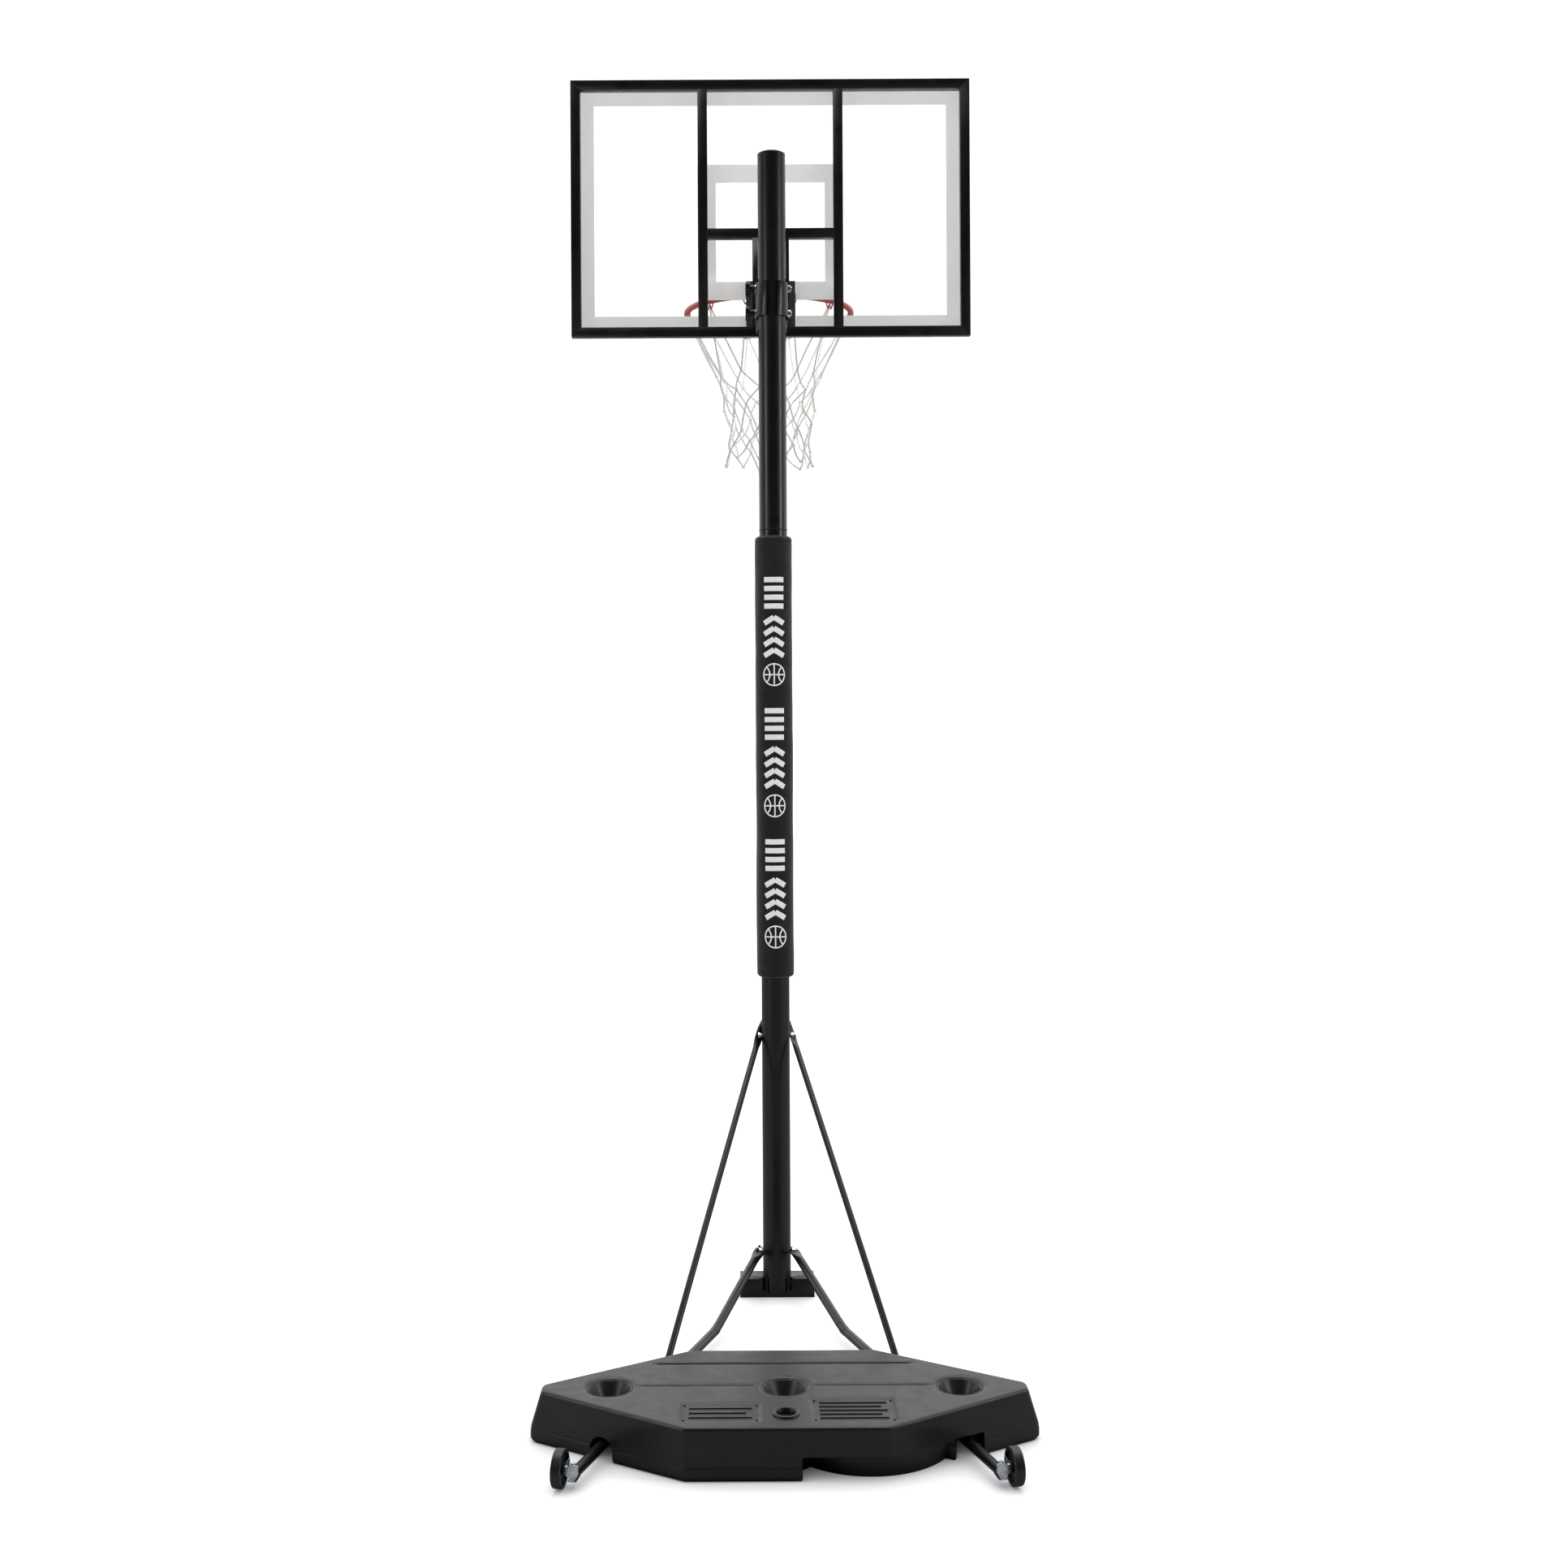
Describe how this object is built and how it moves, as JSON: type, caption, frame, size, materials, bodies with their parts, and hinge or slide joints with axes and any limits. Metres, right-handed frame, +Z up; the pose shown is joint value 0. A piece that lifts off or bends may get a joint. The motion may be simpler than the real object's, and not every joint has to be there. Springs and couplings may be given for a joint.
{
  "type": "portable basketball hoop",
  "caption": "Freestanding hoop: ballast tank on rolling tubes, padded sectional pole, framed clear board on a height clamp, rim with net.",
  "frame": {"origin": "on the floor on the pole's axis, under the foot block", "axes": "+Z up along the pole, +Y towards the playing side and the rim, -Y towards the ballast tank and wheels, +X to the right seen from the tank side"},
  "size_m": [1.045, 1.9516, 3.12],
  "materials": {
    "tank_plastic": "moulded, fine grain",
    "water": "clear liquid ballast",
    "black_plastic": "moulded",
    "zinc": "bright zinc plate",
    "black_steel": "satin black powder coat",
    "pad_fabric": "woven nylon over foam",
    "wheel_plastic": "moulded",
    "clear_panel": "clear polycarbonate",
    "white_print": "screen print",
    "rim_red": "powder coat",
    "net_cord": "braided cord"
  },
  "bodies": {
    "base": {"tank_shell": "tank_plastic", "water_ballast": "water", "foot_block": "tank_plastic", "foot_bolt": "zinc", "pole_lower": "black_steel", "pole_middle": "black_steel", "pole_upper": "black_steel", "pole_cap": "black_plastic", "pole_pad": "pad_fabric", "axle_tube_left": "black_steel", "axle_tube_right": "black_steel", "strut_left": "black_steel", "strut_right": "black_steel", "pole_bolts": "zinc", "strut_bolts": "zinc", "wheel_bracket_left": "zinc", "wheel_bracket_right": "zinc", "bracket_bolts": "zinc", "axle_left": "zinc", "axle_right": "zinc"},
    "plug": {"fill_plug": "black_plastic"},
    "wheel_l": {"wheel_left": "wheel_plastic"},
    "wheel_r": {"wheel_right": "wheel_plastic"},
    "board": {"rail_top": "black_steel", "rail_bottom": "black_steel", "rail_left": "black_steel", "rail_right": "black_steel", "upright_left": "black_steel", "upright_right": "black_steel", "cross_bar": "black_steel", "mount_channel": "black_steel", "clamp_left": "black_steel", "clamp_right": "black_steel", "clamp_washers": "zinc", "clamp_nuts": "zinc", "panel": "clear_panel", "border_print": "white_print", "target_print": "white_print", "panel_screws": "zinc", "rim_plate": "black_steel", "rim_neck": "rim_red", "rim_gussets": "rim_red", "rim_bolts": "zinc", "rim_ring": "rim_red", "net_hooks": "rim_red", "net": "net_cord"},
    "upper_knob": {"knob_upper": "black_plastic", "knob_bolt_upper": "zinc"},
    "lower_knob": {"knob_lower": "black_plastic", "knob_bolt_lower": "zinc"}
  },
  "joints": [
    {"name": "height_slide", "type": "slide", "parent": "base", "child": "board", "axis": [0, 0, 1], "range_m": [-0.45, 0.3]},
    {"name": "plug_pull", "type": "slide", "parent": "base", "child": "plug", "axis": [0, 0, 1], "range_m": [0, 0.04]},
    {"name": "wheel_left_spin", "type": "hinge", "parent": "base", "child": "wheel_l", "pos_m": [-0.431, -1.093, 0.0385], "axis": [0.9816, -0.1908, 0], "continuous": true},
    {"name": "wheel_right_spin", "type": "hinge", "parent": "base", "child": "wheel_r", "pos_m": [0.431, -1.093, 0.0385], "axis": [0.9816, 0.1908, 0], "continuous": true},
    {"name": "upper_knob_turn", "type": "hinge", "parent": "board", "child": "upper_knob", "pos_m": [-0.05, 0.045, 2.541], "axis": [1, 0, 0], "continuous": true},
    {"name": "lower_knob_turn", "type": "hinge", "parent": "board", "child": "lower_knob", "pos_m": [-0.05, 0.045, 2.478], "axis": [1, 0, 0], "continuous": true}
  ]
}
